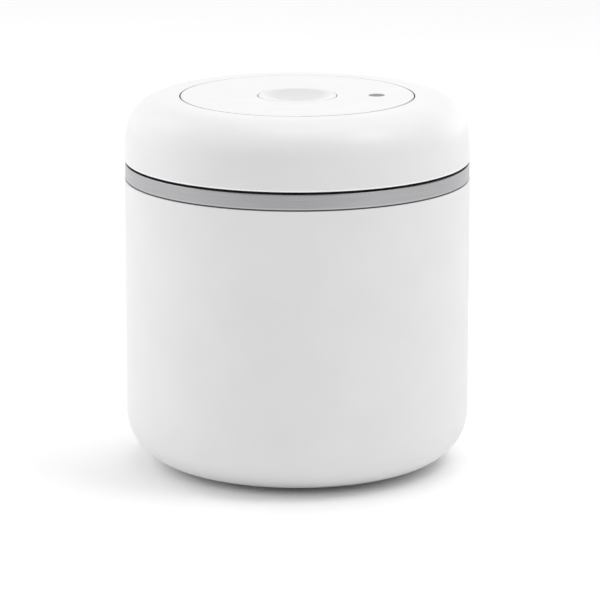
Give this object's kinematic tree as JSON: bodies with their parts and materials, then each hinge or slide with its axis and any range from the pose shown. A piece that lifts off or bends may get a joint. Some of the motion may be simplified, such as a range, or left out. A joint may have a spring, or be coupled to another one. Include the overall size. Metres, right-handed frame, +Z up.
{
  "type": "vacuum food canister",
  "caption": "Round white steel food canister with a bare steel rim band and a twist-to-pump vacuum lid with a release button and a vacuum indicator.",
  "frame": {"origin": "on the floor, under the middle of the base", "axes": "+Z up along the body's axis, -Y towards the viewer of the picture, +X towards the indicator on the lid"},
  "size_m": [0.125, 0.125, 0.135],
  "materials": {
    "white_paint": "matte powder coat",
    "bare_steel": "fine turned satin",
    "lid_plastic": "matte moulded",
    "button_plastic": "matte moulded",
    "indicator_plastic": "matte moulded",
    "white_plastic": "satin moulded",
    "grey_plastic": "satin moulded",
    "clear_grey_plastic": "smooth moulded",
    "slick_plastic": "smooth acetal",
    "grey_silicone": "matte silicone",
    "black_silicone": "matte silicone",
    "screw_steel": "plain",
    "spring_steel": "drawn wire",
    "mesh_steel": "woven mesh"
  },
  "bodies": {
    "canister": {"canister_shell": "white_paint", "rim_collar": "bare_steel", "foot_ring": "grey_silicone"},
    "lid_core": {"core_housing": "white_plastic", "main_gasket": "black_silicone", "pump_deck": "white_plastic", "top_disc": "lid_plastic", "glide_ring": "slick_plastic", "cylinder_back": "clear_grey_plastic", "cylinder_front": "clear_grey_plastic", "cylinder_caps": "grey_plastic", "cap_gaskets": "black_silicone", "cap_screws": "screw_steel", "inlet_valves": "grey_silicone", "exhaust_valves": "grey_silicone", "filter_plate": "grey_plastic", "filter_mesh": "mesh_steel", "deck_screws": "screw_steel", "disc_screws": "screw_steel", "button_spring": "spring_steel", "indicator_spring": "spring_steel", "indicator_diaphragm": "grey_silicone"},
    "twist": {"twist_ring": "lid_plastic", "drive_plate": "grey_plastic", "drive_pinion": "slick_plastic", "ring_screws": "screw_steel"},
    "button": {"release_button": "button_plastic", "valve_stem": "screw_steel", "valve_seal": "black_silicone", "stem_clip": "spring_steel"},
    "indicator": {"indicator_pin": "indicator_plastic"},
    "piston_back": {"piston_back": "slick_plastic", "piston_seal_back": "black_silicone"},
    "piston_front": {"piston_front": "slick_plastic", "piston_seal_front": "black_silicone"}
  },
  "joints": [
    {"name": "lid_lift", "type": "slide", "parent": "canister", "child": "lid_core", "axis": [0, 0, 1], "range_m": [0, 0.1]},
    {"name": "lid_twist", "type": "hinge", "parent": "lid_core", "child": "twist", "pos_m": [0, 0, 0.115], "axis": [0, 0, 1], "range_deg": [0, 70]},
    {"name": "button_press", "type": "slide", "parent": "lid_core", "child": "button", "axis": [0, 0, -1], "range_m": [0, 0.003], "stiffness_N_per_m": 400, "springref_m": -0.01, "deforming": ["button_spring"]},
    {"name": "indicator_drop", "type": "slide", "parent": "lid_core", "child": "indicator", "axis": [0, 0, -1], "range_m": [0, 0.0015], "stiffness_N_per_m": 60, "springref_m": -0.002, "deforming": ["indicator_spring", "indicator_diaphragm"]},
    {"name": "piston_back_stroke", "type": "slide", "parent": "lid_core", "child": "piston_back", "axis": [0, 1, 0], "range_m": [0, 0.0125]},
    {"name": "piston_front_stroke", "type": "slide", "parent": "lid_core", "child": "piston_front", "axis": [0, -1, 0], "range_m": [0, 0.0125]}
  ],
  "couplings": [
    {"joint": "piston_back_stroke", "follows": "lid_twist", "m_per_rad": 0.01},
    {"joint": "piston_front_stroke", "follows": "lid_twist", "m_per_rad": 0.01}
  ]
}
